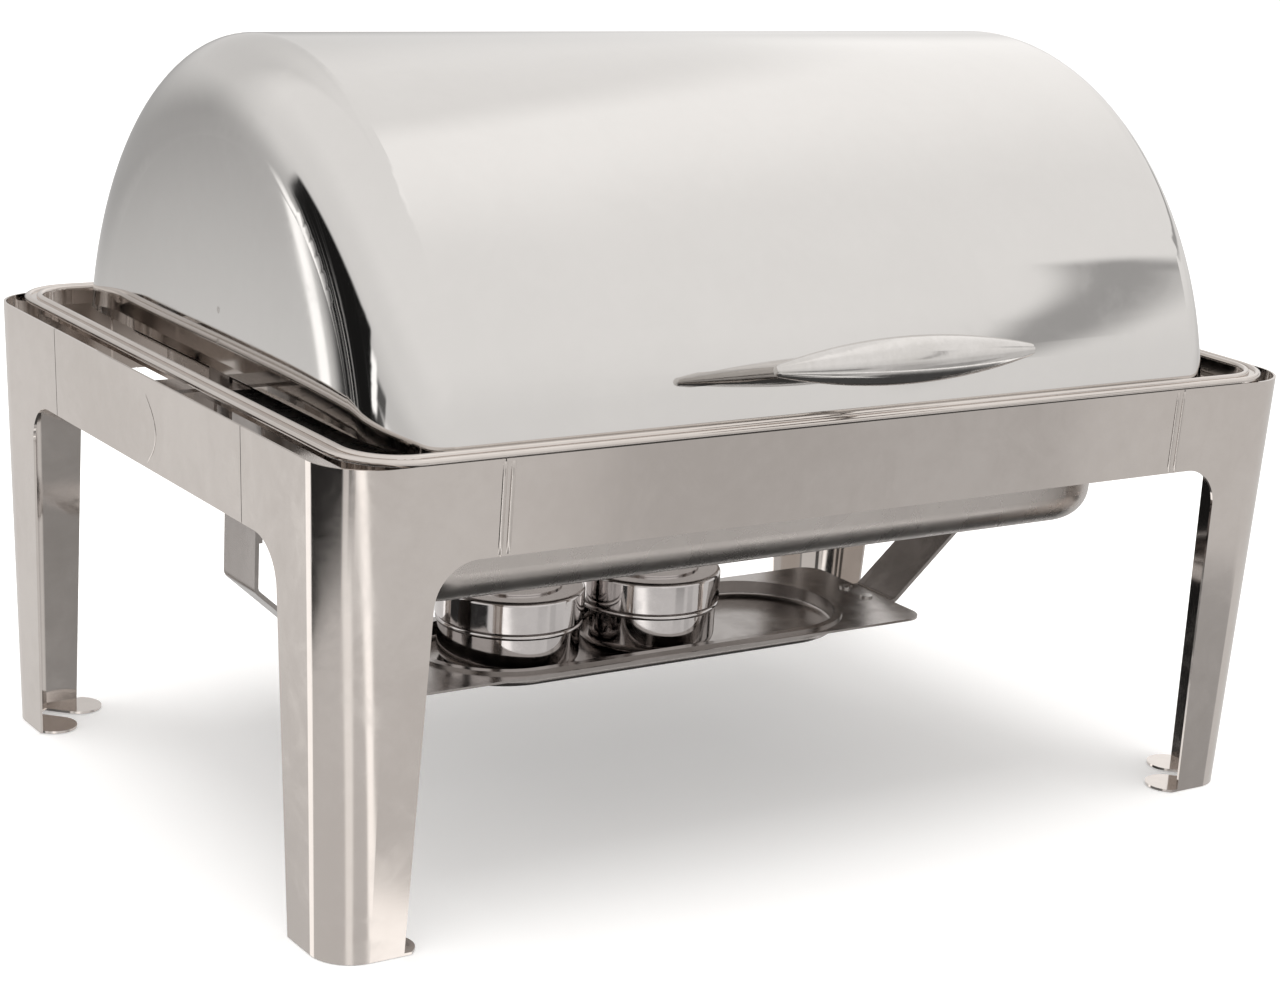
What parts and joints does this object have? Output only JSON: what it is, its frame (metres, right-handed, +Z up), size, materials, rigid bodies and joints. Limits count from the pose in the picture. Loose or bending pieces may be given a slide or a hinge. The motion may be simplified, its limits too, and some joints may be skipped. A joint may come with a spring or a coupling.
{
  "type": "chafing dish food warmer",
  "caption": "Full-size roll-top chafing dish: drafted steel stand, rim ring, water pan, food pan, half-drum cover that rolls back on end pins, hanging shelf with fuel burners.",
  "frame": {"origin": "on the table under the middle of the whole outline, the handle counted in; the middle of the stand is 17.4 mm behind it", "axes": "+X along the length, -Y towards the serving side with the handle, +Z up"},
  "size_m": [0.656, 0.4948, 0.4469],
  "materials": {
    "satin_steel": "satin stainless steel",
    "pan_steel": "satin stainless steel",
    "bracket_steel": "brushed stainless steel",
    "fastener_steel": "turned stainless steel",
    "polished_cover": "mirror-polished stainless steel",
    "polished_handle": "polished stainless steel",
    "burner_steel": "bright stainless steel",
    "fuel_tin": "bright tin"
  },
  "bodies": {
    "stand": {"leg_front_left": "satin_steel", "leg_front_right": "satin_steel", "leg_rear_left": "satin_steel", "leg_rear_right": "satin_steel", "rail_front": "satin_steel", "rail_rear": "satin_steel", "rail_left": "satin_steel", "rail_right": "satin_steel", "rim_ring": "satin_steel", "water_pan": "pan_steel", "food_pan": "pan_steel", "hanger_strap_left": "bracket_steel", "hanger_strap_right": "bracket_steel", "pan_bearer_left": "bracket_steel", "pan_bearer_right": "bracket_steel", "pivot_bracket_left": "bracket_steel", "pivot_bracket_right": "bracket_steel", "fuel_shelf": "bracket_steel", "burner_tray": "bracket_steel", "bearer_rivets": "fastener_steel", "shelf_rivets": "fastener_steel", "pivot_pin_left": "fastener_steel", "pivot_pin_right": "fastener_steel", "burner_cup_left": "burner_steel", "burner_cup_right": "burner_steel", "fuel_can_left": "fuel_tin", "fuel_can_right": "fuel_tin"},
    "cover": {"roll_cover": "polished_cover", "cover_ear_left": "bracket_steel", "cover_ear_right": "bracket_steel", "ear_rivets": "fastener_steel", "handle_bar": "polished_handle", "handle_post": "polished_handle", "handle_screw": "fastener_steel", "handle_washer": "fastener_steel"},
    "lid_left": {"burner_lid_left": "burner_steel", "damper_rivet_left": "fastener_steel"},
    "lid_right": {"burner_lid_right": "burner_steel", "damper_rivet_right": "fastener_steel"},
    "damper_left": {"damper_left": "burner_steel"},
    "damper_right": {"damper_right": "burner_steel"}
  },
  "joints": [
    {"name": "cover_roll", "type": "hinge", "parent": "stand", "child": "cover", "pos_m": [0, 0.0174, 0.232], "axis": [-1, 0, 0], "range_deg": [0, 90]},
    {"name": "lid_lift_left", "type": "slide", "parent": "stand", "child": "lid_left", "axis": [0, 0, 1], "range_m": [0, 0.025]},
    {"name": "damper_swing_left", "type": "hinge", "parent": "lid_left", "child": "damper_left", "pos_m": [-0.126, 0.0174, 0.119], "axis": [0, 0, -1], "range_deg": [0, 150]},
    {"name": "lid_lift_right", "type": "slide", "parent": "stand", "child": "lid_right", "axis": [0, 0, 1], "range_m": [0, 0.025]},
    {"name": "damper_swing_right", "type": "hinge", "parent": "lid_right", "child": "damper_right", "pos_m": [0.05, 0.0174, 0.119], "axis": [0, 0, 1], "range_deg": [0, 150]}
  ]
}
